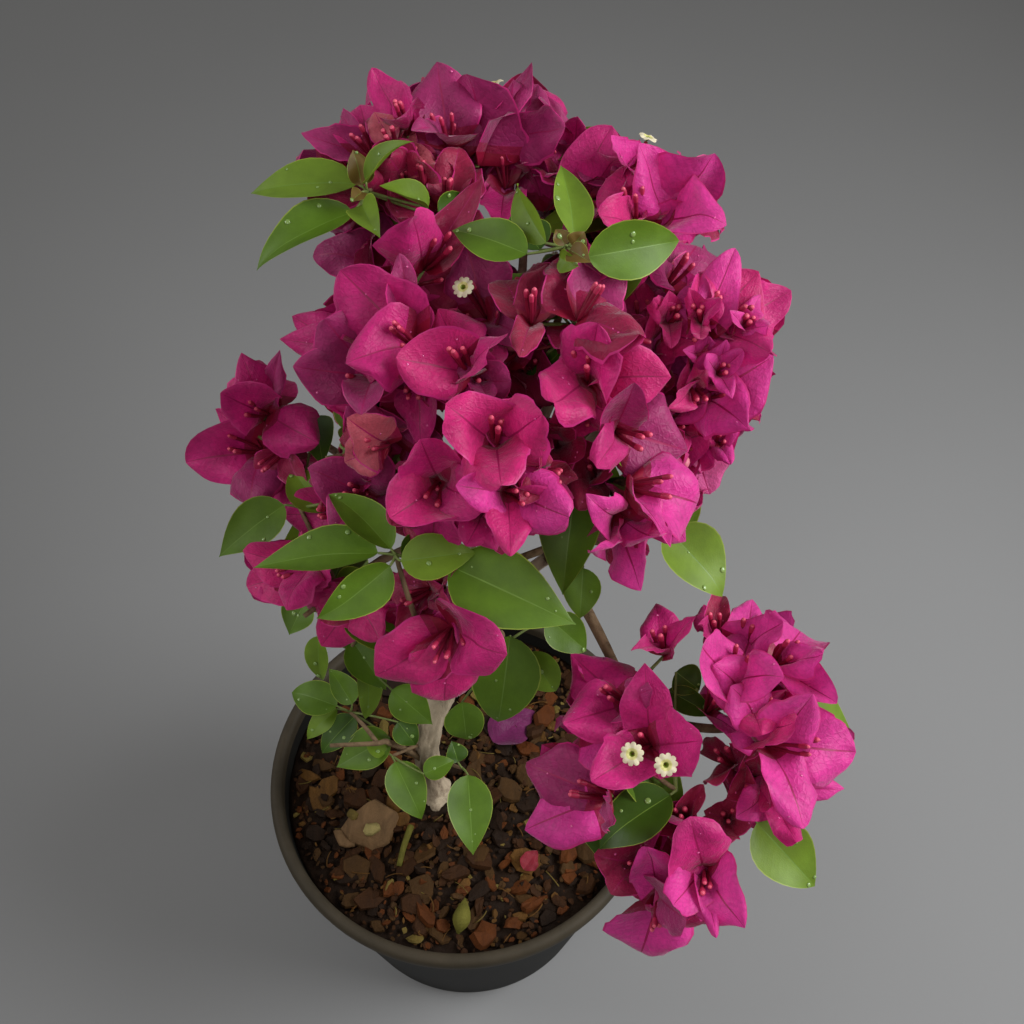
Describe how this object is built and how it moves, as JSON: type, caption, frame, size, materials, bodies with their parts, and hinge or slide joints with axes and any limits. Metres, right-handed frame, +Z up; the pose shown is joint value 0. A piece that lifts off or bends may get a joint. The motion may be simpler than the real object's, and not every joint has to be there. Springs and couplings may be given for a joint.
{
  "type": "potted bougainvillea bush",
  "caption": "Small flowering shrub with a leaning trunk, spreading boughs, papery magenta blossom and an arching side branch, in a round nursery pot.",
  "frame": {"origin": "centre of the pot's flat underside, on the surface it stands on", "axes": "+Z up, with the arching side branch towards +X and -Y"},
  "size_m": [0.3028, 0.3708, 0.5152],
  "materials": {
    "pot_plastic": "matt moulded plastic, dark grey-brown",
    "bark_chips": "damp bark chips in browns",
    "bark": "dry grey-tan bark",
    "bracts": "papery magenta bracts",
    "leaves": "glossy green leaves"
  },
  "bodies": {
    "root": {"pot": "pot_plastic", "potting_mix": "bark_chips", "trunk": "bark", "bough_back": "bark", "bough_right": "bark", "bough_centre": "bark", "bough_left": "bark", "bough_arch_rise": "bark", "bough_side_left": "bark", "bough_low_front": "bark", "bough_back_left": "bark", "bough_back_right": "bark", "bough_rear_left": "bark", "bough_rear": "bark", "bough_rear_right": "bark", "bough_under_right": "bark", "bough_front": "bark", "bough_middle": "bark", "bough_front_right": "bark", "bough_front_left": "bark", "bough_low_left": "bark", "bough_arch_reach": "bark", "bough_arch_right": "bark", "bough_arch_left": "bark", "shoot_under_right": "bark", "shoot_under_rear": "bark", "shoot_under_left": "bark", "shoot_under_front": "bark", "shoot_low": "bark", "bloom_back_left": "bracts", "bloom_back": "bracts", "bloom_back_right": "bracts", "bloom_right": "bracts", "bloom_centre": "bracts", "bloom_front": "bracts", "bloom_middle": "bracts", "bloom_front_right": "bracts", "bloom_left": "bracts", "bloom_front_left": "bracts", "bloom_side_left": "bracts", "bloom_low_left": "bracts", "bloom_low_front": "bracts", "bloom_rear_left": "bracts", "bloom_rear": "bracts", "bloom_rear_right": "bracts", "bloom_under_right": "bracts", "bloom_arch_left": "bracts", "bloom_arch_right": "bracts", "bloom_arch_low": "bracts", "leaves_under_right": "leaves", "leaves_under_rear": "leaves", "leaves_under_left": "leaves", "leaves_under_front": "leaves", "leaves_low_shoot": "leaves"}
  },
  "joints": []
}
